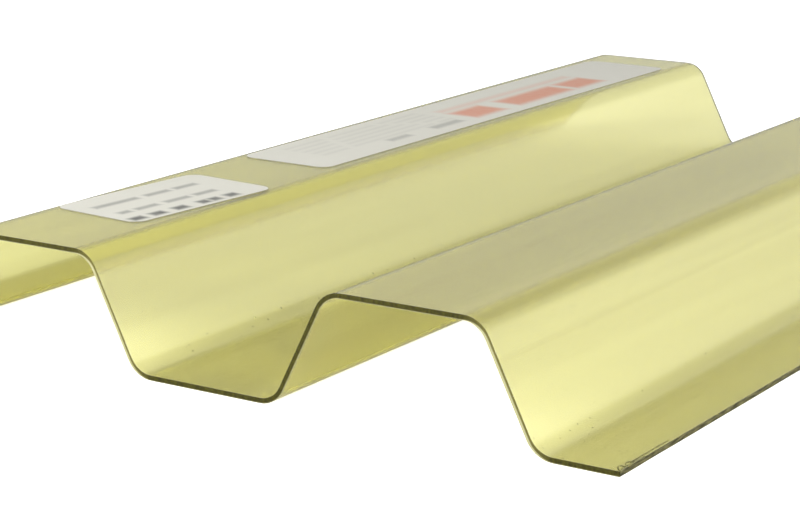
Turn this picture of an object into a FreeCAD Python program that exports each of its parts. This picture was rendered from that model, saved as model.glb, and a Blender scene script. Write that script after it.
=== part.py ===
"""A cut piece of trapezoidal corrugated roofing sheet in translucent PVC.

One sheet of even wall, folded into flat crests and flat valleys with leaning webs between
them, and two paper labels stuck on the first crest. Lengths are in millimetres.

X runs across the ribs, Y along them and Z up. The origin is under the middle of the sheet,
on the plane that the undersides of the valleys lie on.
"""

import math
import os

import FreeCAD
import Part

# Sheet: the rolled profile and the size of the cut piece
LENGTH = 210.0          # along the ribs, from one sawn end to the other
PITCH = 70.0            # from one crest to the next
CREST_COUNT = 2
DEPTH = 18.0            # from the top of a valley to the top of a crest
CREST_WIDTH = 26.0      # between the sharp corners of the middle of the wall
VALLEY_WIDTH = 26.0     # between the same corners in a valley
EDGE_WIDTH = 13.0       # from the last such corner out to the cut edge
WALL = 0.8
BEND_RADIUS = 4.0       # of the middle of the wall

# Labels: paper, stuck along the first crest
LABEL_THICKNESS = 0.15
LABEL_CORNER = 2.5
LABEL_WIDTH = 19.0
SMALL_LABEL_LENGTH = 33.5
SMALL_LABEL_START = 18.5        # from the near end of the sheet to the label's middle line
SMALL_LABEL_TURN = -5.0         # degrees, stuck on a little askew
LONG_LABEL_LENGTH = 130.0
LABEL_GAP = 17.5                # between the two labels
LONG_LABEL_TURN = -0.5

# Places that follow from the sizes
WEB_RUN = (PITCH - CREST_WIDTH - VALLEY_WIDTH) / 2
FIRST_CREST = -PITCH * (CREST_COUNT - 1) / 2
NEAR_END = -LENGTH / 2
VALLEY_LEVEL = WALL / 2         # height of the middle of the wall in a valley


def profile_corners():
    """The sharp corners of the middle of the wall, from the left cut edge to the right one."""
    half_top = CREST_WIDTH / 2
    half_foot = half_top + WEB_RUN
    crests = [FIRST_CREST + PITCH * number for number in range(CREST_COUNT)]
    crest_level = VALLEY_LEVEL + DEPTH

    corners = [(crests[0] - half_foot - EDGE_WIDTH, VALLEY_LEVEL)]
    for crest in crests:
        corners.append((crest - half_foot, VALLEY_LEVEL))
        corners.append((crest - half_top, crest_level))
        corners.append((crest + half_top, crest_level))
        corners.append((crest + half_foot, VALLEY_LEVEL))
    corners.append((crests[-1] + half_foot + EDGE_WIDTH, VALLEY_LEVEL))
    return [FreeCAD.Vector(x, 0, z) for x, z in corners]


def upward(direction):
    """The normal of a profile run, on the upper side of the sheet."""
    return FreeCAD.Vector(-direction.z, 0, direction.x)


def profile_line(height):
    """The profile at a height above the middle of the wall: straight runs and tangent arcs.

    Lines at every height share the centres of the bends, so the space between two of them
    is equally thick on the flats, on the webs and round the bends.
    """
    corners = profile_corners()
    edges = []
    first_run = (corners[1] - corners[0]).normalize()
    start = corners[0] + upward(first_run) * height

    for before, corner, after in zip(corners, corners[1:], corners[2:]):
        arriving = (corner - before).normalize()
        leaving = (after - corner).normalize()
        setback = BEND_RADIUS * math.tan(arriving.getAngle(leaving) / 2)
        side = 1 if leaving.z > arriving.z else -1      # 1 where the sheet turns up
        bend_start = corner - arriving * setback
        bend_end = corner + leaving * setback
        centre = bend_start + upward(arriving) * BEND_RADIUS * side

        arc_start = bend_start + upward(arriving) * height
        arc_end = bend_end + upward(leaving) * height
        arc_middle = centre + (corner - centre).normalize() * (BEND_RADIUS - height * side)
        edges.append(Part.LineSegment(start, arc_start).toShape())
        edges.append(Part.Arc(arc_start, arc_middle, arc_end).toShape())
        start = arc_end

    end = corners[-1] + upward(first_run) * height
    edges.append(Part.LineSegment(start, end).toShape())
    return edges


def corrugated_layer(low, high):
    """A solid as long as the sheet, between two heights above the middle of the wall."""
    lower = profile_line(low)
    upper = profile_line(high)
    left = Part.LineSegment(lower[0].Vertexes[0].Point, upper[0].Vertexes[0].Point).toShape()
    right = Part.LineSegment(lower[-1].Vertexes[-1].Point, upper[-1].Vertexes[-1].Point).toShape()
    outline = Part.Wire(Part.__sortEdges__(lower + [right] + upper + [left]))
    layer = Part.Face(outline).extrude(FreeCAD.Vector(0, LENGTH, 0))
    layer.translate(FreeCAD.Vector(0, NEAR_END, 0))
    return layer


def label(length, middle, turn):
    """A rounded paper label that follows the first crest and the start of its bends."""
    blank_height = 2 * (DEPTH + WALL)
    blank = Part.makeBox(
        LABEL_WIDTH, length, blank_height,
        FreeCAD.Vector(-LABEL_WIDTH / 2, -length / 2, 0),
    )
    upright_edges = [edge for edge in blank.Edges if abs(edge.Vertexes[0].Z - edge.Vertexes[-1].Z) > WALL]
    blank = blank.makeFillet(LABEL_CORNER, upright_edges)
    blank.rotate(FreeCAD.Vector(0, 0, 0), FreeCAD.Vector(0, 0, 1), turn)
    blank.translate(FreeCAD.Vector(FIRST_CREST, middle, VALLEY_LEVEL + DEPTH / 2))
    skin = corrugated_layer(WALL / 2, WALL / 2 + LABEL_THICKNESS)
    return skin.common(blank).Solids[0]


small_label_middle = NEAR_END + SMALL_LABEL_START + SMALL_LABEL_LENGTH / 2
long_label_middle = small_label_middle + SMALL_LABEL_LENGTH / 2 + LABEL_GAP + LONG_LABEL_LENGTH / 2

parts = {
    "sheet": corrugated_layer(-WALL / 2, WALL / 2),
    "small_label": label(SMALL_LABEL_LENGTH, small_label_middle, SMALL_LABEL_TURN),
    "long_label": label(LONG_LABEL_LENGTH, long_label_middle, LONG_LABEL_TURN),
}

os.makedirs("parts", exist_ok=True)
for name, shape in parts.items():
    shape.exportStep(f"parts/{name}.step")
    box = shape.BoundBox
    print(
        f"{name}: valid {shape.isValid()}, {len(shape.Faces)} faces, {shape.Volume:.1f} mm3, "
        f"x {box.XMin:.2f}..{box.XMax:.2f}, y {box.YMin:.2f}..{box.YMax:.2f}, z {box.ZMin:.2f}..{box.ZMax:.2f}"
    )
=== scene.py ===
# %% [markdown]
# # A cut piece of translucent corrugated roofing sheet
#
# The object is a short sample of the clear, yellow-green PVC sheet that carports and
# lean-to roofs are covered with. It has flat crests and flat valleys with leaning webs
# between them, and two paper labels stuck along its first crest.
#
# Clear things are a good lesson in light. Nearly all of the colour here comes from how much
# plastic a ray passes: once through a web that faces us, two or three times where folds
# lie behind each other, and very far inside a sawn edge, which is why an edge looks dark.

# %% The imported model
import math

import bmesh
import bpy
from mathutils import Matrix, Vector, noise


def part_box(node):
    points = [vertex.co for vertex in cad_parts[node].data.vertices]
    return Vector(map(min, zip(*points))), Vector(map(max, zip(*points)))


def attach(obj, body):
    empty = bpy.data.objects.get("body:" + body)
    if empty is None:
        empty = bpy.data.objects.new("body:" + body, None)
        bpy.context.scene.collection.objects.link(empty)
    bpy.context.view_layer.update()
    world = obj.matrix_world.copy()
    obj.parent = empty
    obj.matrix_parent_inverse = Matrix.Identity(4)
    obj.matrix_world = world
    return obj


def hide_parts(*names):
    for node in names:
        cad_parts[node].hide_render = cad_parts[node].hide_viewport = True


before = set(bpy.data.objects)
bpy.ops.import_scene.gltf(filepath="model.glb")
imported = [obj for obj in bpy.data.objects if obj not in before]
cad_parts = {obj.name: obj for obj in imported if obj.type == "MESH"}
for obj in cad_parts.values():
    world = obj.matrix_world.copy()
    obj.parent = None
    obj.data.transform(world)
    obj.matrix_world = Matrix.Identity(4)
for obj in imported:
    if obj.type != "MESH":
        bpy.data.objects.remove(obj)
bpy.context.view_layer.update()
MM = 0.001
sheet_low, sheet_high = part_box("sheet")
width, length, height = sheet_high - sheet_low
sizes = " x ".join(f"{value / MM:.1f}" for value in (width, length, height))
print(f"sheet {sizes} mm, rests at z {sheet_low.z / MM:.2f}")

# %% [markdown]
# ## The camera
#
# The picture looks over the near cut end from the right, a little way down. A long lens of
# about 105 mm from a third of a metre gives the strong but calm perspective of a product
# photograph. The camera is placed from what it looks at: an aim point, two angles and a
# distance are easier to reason about than a bare position.

# %% Camera
AIM = Vector((21.1, -83.8, 17.9)) * MM      # just behind the sawn end, level with the crests
AZIMUTH = math.radians(33.18)
ELEVATION = math.radians(14.24)
DISTANCE = 350 * MM
LENS = 104.95                               # mm on a sensor 36 mm wide

looking = Vector((
    -math.sin(AZIMUTH) * math.cos(ELEVATION),
    math.cos(AZIMUTH) * math.cos(ELEVATION),
    -math.sin(ELEVATION),
))
camera_data = bpy.data.cameras.new("camera")
camera_data.lens = LENS
camera_data.sensor_width = 36
camera_data.clip_start = 5 * MM
camera = bpy.data.objects.new("camera", camera_data)
camera.location = AIM - looking * DISTANCE
camera.rotation_euler = looking.to_track_quat("-Z", "Y").to_euler()
scene = bpy.context.scene
scene.collection.objects.link(camera)
scene.camera = camera
scene.view_settings.view_transform = "Standard"
print(f"camera at {[round(value / MM) for value in camera.location]} mm")

# %% [markdown]
# ## Writing shader sums as Python
#
# A material here needs a good deal of arithmetic: how near is this point to a sawn edge, is
# it inside a printed bar. Wired by hand, each step is a node and two links. It could also
# be a long list of node calls. Wrapping a socket in a small class is shorter to read: with
# its operators overloaded, `1 - mask` adds the Math node by itself.

# %% Sockets with arithmetic
class Signal:
    """A value on its way through a material. Arithmetic on it adds Math nodes."""

    def __init__(self, finish, socket):
        self.finish = finish
        self.socket = socket

    def _maths(self, operation, first, second=0.0):
        return self.finish.node("Math", {"operation": operation}, {0: first, 1: second})

    def __add__(self, other):
        return self._maths("ADD", self, other)

    def __sub__(self, other):
        return self._maths("SUBTRACT", self, other)

    def __rsub__(self, other):
        return self._maths("SUBTRACT", other, self)

    def __mul__(self, other):
        return self._maths("MULTIPLY", self, other)

    def __pow__(self, other):
        return self._maths("POWER", self, other)

    def __abs__(self):
        return self._maths("ABSOLUTE", self)

    def __gt__(self, other):
        return self._maths("GREATER_THAN", self, other)

    __radd__ = __add__
    __rmul__ = __mul__

    def larger(self, other):
        return self._maths("MAXIMUM", self, other)


class Finish:
    """A material while it is being wired."""

    def __init__(self, name, world=None):
        self.material = world or bpy.data.materials.new(name)
        self.material.use_nodes = True
        self.tree = self.material.node_tree
        self.tree.nodes.clear()

    def node(self, kind, settings=None, inputs=None, output=0):
        made = self.tree.nodes.new("ShaderNode" + kind)
        for name, value in (settings or {}).items():
            if name == "stops":
                ramp = made.color_ramp
                while len(ramp.elements) < len(value):
                    ramp.elements.new(0.5)
                for element, (position, colour) in zip(ramp.elements, value):
                    element.position = position
                    element.color = (*colour, 1)
            else:
                setattr(made, name, value)
        for name, value in (inputs or {}).items():
            socket = made.inputs[name]
            if isinstance(value, Signal):
                self.tree.links.new(value.socket, socket)
            elif isinstance(value, tuple) and socket.type == "RGBA":
                socket.default_value = (*value, 1)
            else:
                socket.default_value = value
        return Signal(self, made.outputs[output])

    def place(self):
        """The point being shaded, as three numbers in metres."""
        point = self.node("TexCoord", output="Object")
        return [self.node("SeparateXYZ", inputs={0: point}, output=axis) for axis in "XYZ"]

    def vector(self, x, y, z):
        return self.node("CombineXYZ", inputs={0: x, 1: y, 2: z})

    def fade(self, value, low, high):
        """0 below low, 1 above high and a smooth step between them."""
        return self.node(
            "MapRange", {"interpolation_type": "SMOOTHSTEP"},
            {"Value": value, "From Min": low, "From Max": high},
        )

    def noise(self, vector, scale, detail=2.0):
        return self.node("TexNoise", inputs={"Vector": vector, "Scale": scale, "Detail": detail})

    def blend(self, factor, first, second):
        """A mix of two colours."""
        made = self.tree.nodes.new("ShaderNodeMix")
        made.data_type = "RGBA"
        # a Mix node has one set of sockets for each kind of data: 6 and 7 are its colours
        for number, value in {0: factor, 6: first, 7: second}.items():
            socket = made.inputs[number]
            if isinstance(value, Signal):
                self.tree.links.new(value.socket, socket)
            else:
                socket.default_value = (*value, 1)
        return Signal(self, made.outputs[2])

    def finish(self, surface, volume=None):
        """Wire the last nodes to the output, of a material or of the world."""
        is_world = isinstance(self.material, bpy.types.World)
        end = self.tree.nodes.new("ShaderNodeOutput" + ("World" if is_world else "Material"))
        self.tree.links.new(surface.socket, end.inputs["Surface"])
        if volume:
            self.tree.links.new(volume.socket, end.inputs["Volume"])
        return self.material


# %% [markdown]
# ## The tinted PVC
#
# Clear plastic could be faked with plain transparency, but then the sheet would look the same
# seen through once or three times. Glass that absorbs light along the ray's way through the
# wall gets the doubled folds, the deeper colour at a shallow angle and the dark sawn ends
# right by itself. So the tint is a Volume Absorption, set from what is left of white light
# after one wall.

# %% One wall's tint
WALL = 0.8 * MM
LEFT_BY_ONE_WALL = (0.957, 0.932, 0.455)    # of red, green and blue light
losses = [-math.log(share) / WALL for share in LEFT_BY_ONE_WALL]
DENSITY = max(losses)
absorbing_colour = tuple(1 - loss / DENSITY for loss in losses)
print("absorption density", round(DENSITY))
print("absorbing colour", [round(value, 3) for value in absorbing_colour])


# %% [markdown]
# Three things are added by hand to what the light does. The sawn faces are rougher than the
# skin and nearly black-green, because light that enters them runs lengthwise inside the sheet
# and rarely comes back. On the webs that lean to the right, towards the long lamp, the cut
# faces carry painted light: they are painted lighter, and pale on their inner half. And the
# skin has what a roll-formed sheet has after some time on a table: fine lines along its
# length from the die, smears, and dust.

# %% The PVC material
SKIN = ((0.98, 0.98, 0.95), (0.86, 0.85, 0.76))     # clear, and where it is scored or banded
DUST = ((0.20, 0.18, 0.08), (0.42, 0.40, 0.26))     # small specks and large ones
IOR_OF_PVC = 1.53
DARK_CUT = ((0.034, 0.031, 0.002), (0.084, 0.077, 0.008))
# painted light on the cut faces of the webs that lean to the right, towards the long lamp:
# lighter, and pale on their inner half
LIT_WEB_CUT = (0.30, 0.27, 0.08)
LIT_PALE_CUT = (0.66, 0.64, 0.36)
SIDE_CUT = ((0.030, 0.027, 0.003), (0.210, 0.195, 0.075))
LINE_HEIGHT = 12.8 * MM         # a faint line along the bare web, a third of the way down
DUST_PER_METRE = 640.0          # cells of the pattern that carries the specks


def sawn_edge(pvc, x, y, z):
    """The surface of the cut ends and sides."""
    depth_in_wall = pvc.node("Attribute", {"attribute_name": "depth"}, output="Fac")
    lean = pvc.node("Attribute", {"attribute_name": "lean"}, output="Fac")
    saw_marks = pvc.noise(pvc.vector(x, y, z * 0.4), 2600.0, 3.0)
    to_the_right = lean.larger(0.0)
    dark = pvc.blend(pvc.fade(saw_marks, 0.3, 0.7), *DARK_CUT)
    # painted light: the cut faces of the webs that lean to the right, towards the long lamp, are
    # painted lighter
    dark = pvc.blend(to_the_right * 0.6, dark, LIT_WEB_CUT)
    # painted light: the lower part of each cut face is painted pale, a narrow band on the flats
    # and the inner half on the webs that lean right
    lit_from = 0.90 - to_the_right * 0.50
    pale = pvc.fade(depth_in_wall, lit_from - 0.12, lit_from + 0.12)
    end_colour = pvc.blend(pale * 0.85, dark, LIT_PALE_CUT)

    streaks = pvc.fade(pvc.noise(pvc.vector(x, y * 0.35, z * 3.0), 1300.0, 3.0), 0.35, 0.7)
    side_colour = pvc.blend(streaks, *SIDE_CUT)
    on_side = (
        pvc.fade(abs(x), width / 2 - 0.25 * MM, width / 2 - 0.15 * MM)
        * pvc.fade(length / 2 - abs(y), 0.1 * MM, 0.3 * MM)
    )
    relief = {"Strength": 0.5, "Distance": 0.03 * MM, "Height": saw_marks}
    return pvc.node("BsdfPrincipled", inputs={
        "Base Color": pvc.blend(on_side, end_colour, side_colour),
        "Roughness": 0.45,
        "Specular IOR Level": 0.08,
        "Normal": pvc.node("Bump", inputs=relief),
    })


def tinted_pvc():
    pvc = Finish("tinted_pvc")
    x, y, z = pvc.place()

    die_lines = pvc.noise(pvc.vector(x, y * 0.006, z), 900.0, 3.0)
    swells = pvc.noise(pvc.vector(x, y * 0.15, z), 60.0, 1.0)
    scored = (1 - pvc.fade(abs(z - LINE_HEIGHT), 0.05 * MM, 0.35 * MM)) * (x > PITCH / 2)
    skin = pvc.node("Bump", inputs={
        "Strength": 0.25, "Distance": 0.05 * MM, "Height": die_lines * 0.3 + swells - scored * 0.5,
    })
    bands = pvc.noise(pvc.vector(x, y * 0.03, z), 260.0, 2.0)
    shade = pvc.fade(bands, 0.35, 0.75) * 0.35 + scored * 0.35
    smears = pvc.noise(pvc.vector(x, y * 0.4, z), 120.0, 4.0)
    clear = pvc.node("BsdfPrincipled", inputs={
        "Base Color": pvc.blend(shade, *SKIN),
        "Roughness": 0.06 + smears * 0.05,
        "IOR": IOR_OF_PVC,
        "Transmission Weight": 0.92,
        "Normal": skin,
    })

    cells = {"Vector": pvc.vector(x, y, z), "Scale": DUST_PER_METRE}
    nearest = pvc.node("TexVoronoi", inputs=cells, output="Distance")
    kind = pvc.node("TexVoronoi", inputs=cells, output="Color")
    size = pvc.node("SeparateXYZ", inputs={0: kind}, output="X")
    higher = pvc.fade(z, 1.5 * MM, 3.0 * MM)        # most dust lies on the low flats
    fewer = higher * 0.45
    shown = pvc.fade(size, fewer + 0.15, fewer + 0.30)
    specks = (1 - pvc.fade(nearest - size * 0.09, 0.0, 0.05)) * shown
    dust_colour = pvc.blend(size, *DUST)
    dust = pvc.node("BsdfPrincipled", inputs={"Base Color": dust_colour, "Roughness": 0.9})
    cover = 0.55 - higher * 0.42                    # and it is thinner higher up
    dusty = pvc.node("MixShader", inputs={0: specks * cover, 1: clear, 2: dust})

    # a little of what is behind a cut face shines through it
    cut = pvc.node("Attribute", {"attribute_name": "cut"}, output="Fac")
    surface = pvc.node("MixShader", inputs={0: cut * 0.93, 1: dusty, 2: sawn_edge(pvc, x, y, z)})
    tint = pvc.node("VolumeAbsorption", inputs={"Color": absorbing_colour, "Density": DENSITY})
    return pvc.finish(surface, tint)


# %% [markdown]
# ## The folded sheet
#
# The real sheet is squeezed out of a slot as a flat web and folded while it is soft, so its
# wall is the same everywhere and each fold is a true arc. The shape could be drawn as a
# closed outline. Here it is made the way the factory makes it: a flat strip of faces is
# folded at eight lines, the folds are rounded by a bevel, and the wall comes last. That
# way the inside and outside of each bend keep one centre.

# %% The middle of the wall, as sharp folds
PITCH = width / 2
CREST_FLAT = 26 * MM
VALLEY_FLAT = 26 * MM
BEND_RADIUS = 4 * MM            # of the middle of the wall
web_run = (PITCH - CREST_FLAT - VALLEY_FLAT) / 2
depth = height - WALL
low = sheet_low.z + WALL / 2
turn = math.atan2(depth, web_run)       # of the sheet at each fold


def fold_places():
    """Where the sheet's middle turns, from its left side to its right side."""
    places = [(-width / 2, low)]
    for crest in (-PITCH / 2, PITCH / 2):
        foot = CREST_FLAT / 2 + web_run
        places += [(crest - foot, low), (crest - CREST_FLAT / 2, low + depth)]
        places += [(crest + CREST_FLAT / 2, low + depth), (crest + foot, low)]
    return places + [(width / 2, low)]


form = bmesh.new()
row = [form.verts.new((x, -length / 2, z)) for x, z in fold_places()]
profile_edges = [form.edges.new(pair) for pair in zip(row, row[1:])]
drawn = bmesh.ops.extrude_edge_only(form, edges=profile_edges)["geom"]
far_row = [part for part in drawn if isinstance(part, bmesh.types.BMVert)]
bmesh.ops.translate(form, vec=(0, length, 0), verts=far_row)
print("sharp folds:", len(row) - 2, "web lean", round(math.degrees(turn), 1), "degrees")

# %% [markdown]
# A bevel with a profile of 0.5 is a circular arc. Its offset is how far from the sharp fold
# the arc begins, which for a radius and a turn is radius times the tangent of half the turn.

# %% Rounded folds
ARC_FACES = 16
setback = BEND_RADIUS * math.tan(turn / 2)
folds = [edge for edge in form.edges if len(edge.link_faces) == 2]
bmesh.ops.bevel(
    form, geom=folds, offset=setback, offset_type="OFFSET",
    segments=ARC_FACES, profile=0.5, affect="EDGES", material=-1, clamp_overlap=False,
)
print("fold radius", round(BEND_RADIUS / MM, 1), "mm, faces along the profile:", len(form.faces))

# %% [markdown]
# The true arc meets the flat at once, and clear plastic shows such a jump in the bend as a
# thin dark line. In a sheet folded soft the bend eases in over a millimetre or so. For that
# a few rows as narrow as those of the arc are added before and after it, and the profile
# is smoothed, which moves it by about 0.05 mm.

# %% Eased folds
ARC_ROW = BEND_RADIUS * turn / ARC_FACES        # width of one face of an arc
EASE_ROWS = 5
SMOOTHINGS = 6
SAME_PLACE = 0.01 * MM


def cut_across(place, axis):
    """Divide the faces where a plane stands at place along an axis."""
    direction = Vector([1 if name == axis else 0 for name in "xyz"])
    everything = form.verts[:] + form.edges[:] + form.faces[:]
    bmesh.ops.bisect_plane(form, geom=everything, plane_co=direction * place, plane_no=direction)


corners = fold_places()
eased_ends = []
for before, fold, after in zip(corners, corners[1:], corners[2:]):
    for neighbour in (before, after):
        towards = 1 if neighbour[0] > fold[0] else -1
        run = 1 if neighbour[1] == fold[1] else math.cos(turn)
        for number in range(1, EASE_ROWS + 1):
            cut_across(fold[0] + towards * (setback + number * ARC_ROW) * run, "x")
        eased_ends.append(fold[0] + towards * (setback + EASE_ROWS * ARC_ROW) * run)
held = {
    vert for vert in form.verts
    if min(abs(vert.co.x - end) for end in eased_ends) < SAME_PLACE
    or abs(vert.co.x) > width / 2 - SAME_PLACE
}
eased = [vert for vert in form.verts if vert not in held]
for _ in range(SMOOTHINGS):
    middles = {}
    for vert in eased:
        across = [edge for edge in vert.link_edges if edge.calc_length() < length / 2]
        neighbours = [edge.other_vert(vert).co for edge in across]
        if len(neighbours) == 2:
            middles[vert] = (neighbours[0] + neighbours[1]) / 2
    for vert, middle in middles.items():
        vert.co = (vert.co + middle) / 2
print("rows in the profile:", len(form.verts) // 2)

# %% [markdown]
# The strip still consists of faces as long as the sheet. They are divided into short ones,
# so that the cut faces can wander later and no face is a long sliver.

# %% Rows along and across the sheet
ROWS_ALONG = 52
ROWS_ON_A_FLAT = 7


def run_along(edge):
    """How far an edge reaches along the ribs."""
    return abs(edge.verts[0].co.y - edge.verts[1].co.y)


lengthwise = [edge for edge in form.edges if run_along(edge) > length / 2]
bmesh.ops.subdivide_edges(form, edges=lengthwise, cuts=ROWS_ALONG, use_grid_fill=False)
crosswise = [edge for edge in form.edges if run_along(edge) < MM and edge.calc_length() > 5 * MM]
bmesh.ops.subdivide_edges(form, edges=crosswise, cuts=ROWS_ON_A_FLAT, use_grid_fill=True)
print("faces in the middle surface:", len(form.faces))

# %% [markdown]
# Smooth shading spreads the direction of a corner over the whole of the faces beside it. On
# clear plastic that shows at once, as a brown band behind a sawn edge. A row of very
# narrow faces along the cut edges keeps the change where it belongs.

# %% Narrow faces beside the cut edges
NARROW = 0.15 * MM
for side in (-1, 1):
    cut_across(side * (length / 2 - NARROW), "y")
    cut_across(side * (width / 2 - NARROW), "x")
bmesh.ops.recalc_face_normals(form, faces=form.faces[:])
print("faces with the narrow rows:", len(form.faces))

# %% [markdown]
# Solidify gives the strip its wall, half to each side, and keeps it equally thick round the
# bends. Its result is taken as a mesh of its own, because the material has to know three
# things that only the mesh can say: which faces are cut, how deep in the wall a point of the
# cut lies, and which way the wall leans there. They are stored as attributes.


# %% Wall
def made_mesh(drawn):
    """The finished mesh of an object with modifiers, or of a curve, which is then removed."""
    scene.collection.objects.link(drawn)
    ready = drawn.evaluated_get(bpy.context.evaluated_depsgraph_get())
    mesh = bpy.data.meshes.new_from_object(ready)
    bpy.data.objects.remove(drawn)
    return mesh


strip_mesh = bpy.data.meshes.new("strip")
lean_of = form.verts.layers.float.new("lean")
for vert in form.verts:
    vert[lean_of] = vert.normal.x
form.to_mesh(strip_mesh)
strip_size = len(form.verts)
form.free()
strip = bpy.data.objects.new("strip", strip_mesh)
wall = strip.modifiers.new("wall", "SOLIDIFY")
wall.thickness = WALL
wall.offset = 0
wall.use_even_offset = True
sheet_mesh = made_mesh(strip)
print("faces with the wall:", len(sheet_mesh.polygons))

# %% [markdown]
# A saw doesn't cut quite straight. The points of the cut faces move inward a little, by a
# noise of their place, and never outward, so the sheet stays within its length and width.

# %% Cut faces
SAW_WANDER = 0.09 * MM
WAVES_PER_METRE = 90.0
form = bmesh.new()
form.from_mesh(sheet_mesh)
form.verts.ensure_lookup_table()
depth_of = form.verts.layers.float.new("depth")
cut_of = form.faces.layers.float.new("cut")
for first, second in zip(form.verts[:strip_size], form.verts[strip_size:]):
    lower = first if first.co.z < second.co.z else second
    lower[depth_of] = 1.0
both_sides = {0.0, 1.0}
cut_faces = [face for face in form.faces if {vert[depth_of] for vert in face.verts} == both_sides]
for face in cut_faces:
    face[cut_of] = 1.0
for vert in {vert for face in cut_faces for vert in face.verts}:
    wander = abs(noise.noise(vert.co * WAVES_PER_METRE)) * SAW_WANDER
    if abs(vert.co.y) > length / 2 - NARROW / 2:
        vert.co.y -= math.copysign(wander, vert.co.y)
    if abs(vert.co.x) > width / 2 - NARROW / 2:
        vert.co.x -= math.copysign(wander, vert.co.x)
print("cut faces:", len(cut_faces), "of", len(form.faces))

# %% [markdown]
# A sawn corner is never perfectly sharp, and a perfectly sharp one catches no light. So the
# edges between the cut faces and the skin are broken by a very narrow bevel.

# %% Broken arris
ARRIS_WIDTH = 0.04 * MM
arris = [edge for edge in form.edges if len({face[cut_of] for face in edge.link_faces}) == 2]
bmesh.ops.bevel(
    form, geom=arris, offset=ARRIS_WIDTH, offset_type="OFFSET", segments=2, profile=0.5,
    affect="EDGES", material=-1, clamp_overlap=True,
)
for face in form.faces:
    face.smooth = True
form.to_mesh(sheet_mesh)
form.free()
print("edges broken:", len(arris))

# %% [markdown]
# The mesh becomes a piece. It replaces the CAD sheet for looks only: the CAD sheet is hidden
# and still stands for it wherever something touches it.

# %% Sheet piece
sheet_mesh.materials.clear()
sheet_mesh.materials.append(tinted_pvc())
pvc_sheet = bpy.data.objects.new("pvc_sheet", sheet_mesh)
scene.collection.objects.link(pvc_sheet)
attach(pvc_sheet, "root")
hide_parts("sheet")
lowest = min(vert.co.z for vert in sheet_mesh.vertices)
print("sheet faces:", len(sheet_mesh.polygons), "lowest", round(lowest / MM, 3), "mm")

# %% [markdown]
# ## Burr
#
# The saw has raised two thin threads of plastic along the near part of the bare edge, and
# two small curls at the corner. Each is a curve with a thickness, turned into a mesh.

# %% Burr
THREAD_RADIUS = 0.09 * MM
THREAD_LIFT = 0.03
near = -length / 2
edge_x = width / 2
top_of_flat = sheet_low.z + WALL
threads = [     # points in mm: in from the edge (less than 0), along it from the corner, up
    [
        (-0.50, 4.00, 0.00), (-0.56, 6.00, 0.03), (-0.50, 9.00, 0.02),
        (-0.58, 12.00, 0.03), (-0.52, 15.50, -0.03),
    ],
    [
        (-0.20, 0.20, 0.00), (-0.55, 0.40, 0.24), (-0.85, 1.10, 0.30),
        (-0.70, 1.90, 0.16), (-0.30, 2.20, -0.04),
    ],
    [
        (-0.30, 2.40, 0.00), (-0.62, 2.70, 0.20), (-0.78, 3.40, 0.20),
        (-0.60, 4.30, 0.06), (-0.40, 4.80, -0.04),
    ],
    [
        (-0.12, 0.30, -0.02), (-0.22, 1.60, 0.06), (-0.16, 3.20, 0.07),
        (-0.24, 5.00, 0.03), (-0.14, 7.50, -0.03),
    ],
]
burr_curve = bpy.data.curves.new("saw_burr", "CURVE")
burr_curve.dimensions = "3D"
burr_curve.bevel_depth = THREAD_RADIUS
burr_curve.bevel_resolution = 3
burr_curve.use_fill_caps = True
for thread in threads:
    line = burr_curve.splines.new("NURBS")
    line.points.add(len(thread) - 1)
    for point, (inward, along, up) in zip(line.points, thread):
        rise = (up + THREAD_LIFT) * MM
        point.co = (edge_x + inward * MM, near + along * MM, top_of_flat + rise, 1)
    line.order_u = 3
    line.use_endpoint_u = True
burr_mesh = made_mesh(bpy.data.objects.new("drawn_burr", burr_curve))
print("threads:", len(threads), "faces:", len(burr_mesh.polygons))

# %% [markdown]
# Torn plastic isn't clear: it is full of small cracks that scatter the light. The burr is
# therefore an ordinary rough surface, mottled from dark to pale.

# %% Torn plastic
TORN = ((0.085, 0.080, 0.018), (0.40, 0.38, 0.16))


def torn_pvc():
    torn = Finish("torn_pvc")
    x, y, z = torn.place()
    fibres = torn.noise(torn.vector(x, y, z), 3500.0, 3.0)
    relief = {"Strength": 0.4, "Distance": 0.02 * MM, "Height": fibres}
    surface = torn.node("BsdfPrincipled", inputs={
        "Base Color": torn.blend(torn.fade(fibres, 0.35, 0.70), *TORN),
        "Roughness": 0.4 + fibres * 0.2,
        "Normal": torn.node("Bump", inputs=relief),
    })
    return torn.finish(surface)


burr_mesh.materials.clear()
burr_mesh.materials.append(torn_pvc())
for face in burr_mesh.polygons:
    face.use_smooth = True
saw_burr = bpy.data.objects.new("saw_burr", burr_mesh)
scene.collection.objects.link(saw_burr)
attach(saw_burr, "root")
print("saw_burr rides on root")

# %% [markdown]
# ## The labels
#
# Both labels are plain white label paper, a little rough, with rows of short bars of uneven
# length on it, as in a designer's layout. The bars are sums on the label's own two
# directions, along it and across it, since it is stuck on slightly askew. Their borders are
# soft, as ink that has spread into paper.


# %% Printed bars
LABEL_LENGTHS = {"small_label": 33.5 * MM, "long_label": 130 * MM}
LABEL_WIDTH = 19 * MM
LABEL_CORNER = 2.5 * MM
PAPER = ((0.780, 0.768, 0.675), (0.870, 0.854, 0.762))
# the colour of the painted shade along a label's outline and on its thin side
PAPER_EDGE_SHADE = (0.24, 0.23, 0.15)


def printed(paper, along, across, bars, soft):
    """Ink from 0 to 1. A bar is its start, end, middle line and half its height, in mm."""
    ink = None
    for start, end, line, half in bars:
        reach = abs(along - (start + end) / 2 * MM) - (end - start) / 2 * MM
        rise = abs(across - line * MM) - half * MM
        bar = 1 - paper.fade(reach.larger(rise), -soft * MM, soft * MM)
        ink = bar if ink is None else ink.larger(bar)
    return ink


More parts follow.
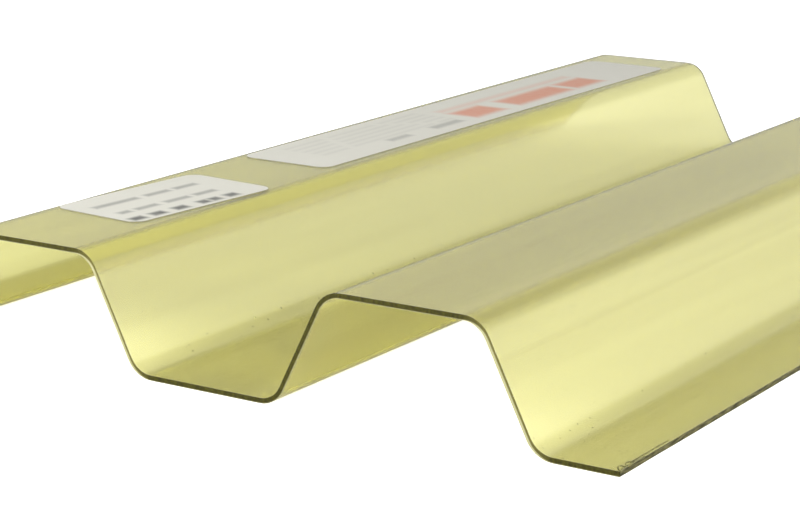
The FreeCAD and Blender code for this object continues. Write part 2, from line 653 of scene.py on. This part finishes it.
def label_paper(node, turn, prints):
    """Label paper with layers of print: a colour, a strength, a softness and bars."""
    low_corner, high_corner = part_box(node)
    middle = (low_corner + high_corner) / 2
    paper = Finish(node + "_paper")
    x, y, z = paper.place()
    x, y = x - middle.x, y - middle.y
    along = y * math.cos(turn) - x * math.sin(turn)
    across = x * math.cos(turn) + y * math.sin(turn)

    grain = paper.noise(paper.vector(x, y, z), 2500.0, 4.0)
    clouds = paper.noise(paper.vector(x, y, z), 160.0, 2.0)
    colour = paper.blend(grain * 0.6 + clouds * 0.4, *PAPER)
    mottle = paper.fade(paper.noise(paper.vector(x, y, z), 700.0, 2.0), 0.25, 0.75)
    for ink_colour, strength, soft, bars in prints:
        ink = printed(paper, along, across, bars, soft)
        colour = paper.blend(ink * (mottle * 0.12 + 0.88) * strength, colour, ink_colour)
    beyond_long = abs(along) - (LABEL_LENGTHS[node] / 2 - LABEL_CORNER)
    beyond_wide = abs(across) - (LABEL_WIDTH / 2 - LABEL_CORNER)
    corner = (beyond_long.larger(0.0) ** 2 + beyond_wide.larger(0.0) ** 2) ** 0.5
    # painted shade: the paper is darkened along its outline and on its thin side
    shaded_rim = paper.fade(corner, LABEL_CORNER - 0.07 * MM, LABEL_CORNER - 0.01 * MM)
    colour = paper.blend(shaded_rim * 0.85, colour, PAPER_EDGE_SHADE)
    relief = {"Strength": 0.15, "Distance": 0.02 * MM, "Height": grain}
    surface = paper.node("BsdfPrincipled", inputs={
        "Base Color": colour,
        "Roughness": 0.5 + grain * 0.2,
        "Normal": paper.node("Bump", inputs=relief),
    })
    print(node, "has", sum(len(bars) for *_, bars in prints), "printed bars")
    return paper.finish(surface)


# %% [markdown]
# The small label has a row of heavy marks and two rows of finer ones. It is turned by five
# degrees on the crest, as a label that is put on by hand.

# %% Small label
INK = (0.045, 0.050, 0.050)
SMALL_TURN = math.radians(-5.0)
bold_row = [
    (-15.6, -12.6, 7.3, 1.0), (-10.9, -7.9, 7.3, 1.0), (-5.6, -2.6, 7.3, 1.0),
    (0.4, 2.6, 7.3, 1.0), (3.2, 5.4, 7.3, 1.0), (7.0, 9.6, 7.3, 1.0),
]
fine_rows = [
    (-13.6, -11.0, 2.6, 0.75), (-9.8, -4.6, 2.6, 0.75),
    (-2.8, 3.0, 2.6, 0.75), (4.2, 9.4, 2.6, 0.75),
    (-13.4, -3.2, -3.4, 0.75), (-1.4, 4.4, -3.4, 0.75), (5.6, 11.0, -3.4, 0.75),
]
small_prints = [(INK, 0.85, 0.7, bold_row), (INK, 0.48, 0.7, fine_rows)]

# %% [markdown]
# The long label has five pale rows, two grey bars, three plain red blocks and a paler red
# bar. Ink that is spread thinly lets the paper through, so its strength stays under one.

# %% Long label
RED_INK = (0.80, 0.22, 0.085)
LONG_TURN = math.radians(-0.5)
pale_rows = []
for number in range(5):
    line = -6.4 + 2.2 * number
    pale_rows += [
        (-56.0, -44.0 - number, line, 0.5),
        (-42.0 - number, -27.0 + 2 * number, line, 0.5),
        (-25.0 + 2 * number, -12.0, line, 0.5),
    ]
heavy_rows = [(-38.0, -31.0, 4.8, 0.9), (-23.0, -13.0, 4.8, 1.1)]
red_blocks = [(-8.5, 2.5, 2.6, 3.4), (8.0, 30.0, 2.8, 3.2), (32.0, 43.0, 2.8, 3.2)]
paler_red = [(-8.5, 43.0, -3.2, 1.0)]
long_prints = [
    (INK, 0.10, 0.7, pale_rows), (INK, 0.36, 0.9, heavy_rows),
    (RED_INK, 0.72, 1.5, red_blocks), (RED_INK, 0.25, 1.2, paler_red),
]

# %% [markdown]
# The CAD labels have the right shape, so they stay and only get a material.

# %% Paper on both labels
labels = {"small_label": (SMALL_TURN, small_prints), "long_label": (LONG_TURN, long_prints)}
for node, (label_turn, prints) in labels.items():
    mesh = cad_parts[node].data
    mesh.materials.clear()
    mesh.materials.append(label_paper(node, label_turn, prints))

# %% [markdown]
# ## Floor and light
#
# The photograph was taken on a white table in soft light and exposed until the table turned
# pure white. More lamps would do that too, but they would wash out the object as well. So
# the table is an ordinary pale surface that keeps the object's shadow, and rays that come
# straight from the camera, off a glossy surface or through the clear sheet see it a little
# brighter than it is.

# %% Floor
FLOOR_SIZE = 6.0
FLOOR_GAP = 0.1 * MM
TABLE = (0.85, 0.85, 0.85)
TABLE_GLOW = 0.33           # for camera, glossy and transmission rays
TABLE_GLOW_IN_VIEW = 0.60   # added for camera rays alone


def white_table():
    table = Finish("white_table")
    in_view, in_gloss, through = [
        table.node("LightPath", output=name)
        for name in ("Is Camera Ray", "Is Glossy Ray", "Is Transmission Ray")
    ]
    strength = in_view.larger(in_gloss).larger(through) * TABLE_GLOW + in_view * TABLE_GLOW_IN_VIEW
    matte = table.node("BsdfDiffuse", inputs={"Color": TABLE})
    glow = table.node("Emission", inputs={"Color": (1.0, 1.0, 1.0), "Strength": strength})
    return table.finish(table.node("AddShader", inputs={0: matte, 1: glow}))


floor_form = bmesh.new()
bmesh.ops.create_grid(floor_form, x_segments=1, y_segments=1, size=FLOOR_SIZE / 2)
bmesh.ops.translate(floor_form, vec=(0, 0, sheet_low.z - FLOOR_GAP), verts=floor_form.verts[:])
floor_mesh = bpy.data.meshes.new("floor")
floor_form.to_mesh(floor_mesh)
floor_form.free()
floor_mesh.materials.append(white_table())
floor = bpy.data.objects.new("floor", floor_mesh)
scene.collection.objects.link(floor)

# %% [markdown]
# Clear plastic shows its surroundings twice, as reflections and as what shines through, so
# the room matters more than for a matte thing. The flat crests mirror the low part of the
# room behind them, at a shallow angle and so strongly, and have to find it rather dark. The
# leaning webs mirror what stands low on the right, behind, and are the brightest part. What
# they mirror is a softbox painted into the room. A lamp there would end at a sharp border,
# and each bend would show that border as a hard line along the whole sheet.


# %% Room
ROOM = (0.16, 0.16, 0.16)
BACK_OF_ROOM = (0.66, 0.66, 0.66)
SOFTBOX = (1.9, 1.9, 1.9)
SOFTBOX_AZIMUTH = math.radians(48)      # from the back towards the right
SOFTBOX_ELEVATION = math.radians(15)
SOFTBOX_REACH = (math.radians(34), math.radians(4))     # where its light starts and is full


def soft_room():
    room = Finish("room", bpy.data.worlds.new("room"))
    direction = room.node("TexCoord", output="Generated")
    side, back, up = [
        room.node("SeparateXYZ", inputs={0: direction}, output=axis) for axis in "XYZ"
    ]
    not_high = 1 - room.fade(up, 0.40, 0.85)
    dim_horizon = room.fade(up, 0.0, 0.2) * 0.6 + 0.4
    light_part = room.fade(back, 0.0, 0.8) * not_high * dim_horizon
    walls = room.blend(light_part, ROOM, BACK_OF_ROOM)
    level = math.cos(SOFTBOX_ELEVATION)
    nearness = (
        side * (math.sin(SOFTBOX_AZIMUTH) * level) + back * (math.cos(SOFTBOX_AZIMUTH) * level)
        + up * math.sin(SOFTBOX_ELEVATION)
    )
    softbox = room.fade(nearness, *[math.cos(angle) for angle in SOFTBOX_REACH])
    walls = room.blend(softbox, walls, SOFTBOX)
    lit = room.node("Background", inputs={"Color": walls, "Strength": 1.0})
    white = room.node("Background", inputs={"Color": (1.0, 1.0, 1.0), "Strength": 1.0})
    by_camera = room.node("LightPath", output="Is Camera Ray")
    return room.finish(room.node("MixShader", inputs={0: by_camera, 1: lit, 2: white}))


scene.world = soft_room()

# %% [markdown]
# Three lamps do the rest. A long one on the right lights the webs that lean that way. A small
# one low in front shines into the open ends, so that the insides of the crests aren't dark.
# A weak one overhead lights the labels.


# %% Lamps
def soft_lamp(name, place, wide, tall, watts):
    """A rectangular softbox that faces the sheet."""
    data = bpy.data.lights.new(name, "AREA")
    data.shape = "RECTANGLE"
    data.size = wide
    data.size_y = tall
    data.energy = watts
    lamp = bpy.data.objects.new(name, data)
    lamp.location = place
    lamp.rotation_euler = (-lamp.location).to_track_quat("-Z", "Y").to_euler()
    scene.collection.objects.link(lamp)
    brightness = watts / (math.pi * wide * tall)
    print(f"{name}: {lamp.location.length:.2f} m away, {brightness:.1f} W per m2 and steradian")


soft_lamp("strip_right", place=(1.0, 0.05, 0.36), wide=1.4, tall=0.55, watts=8.6)
soft_lamp("low_front", place=(-0.16, -0.435, 0.23), wide=0.35, tall=0.35, watts=2.2)
soft_lamp("overhead", place=(0.1, 0.0, 1.3), wide=1.2, tall=1.2, watts=0.7)
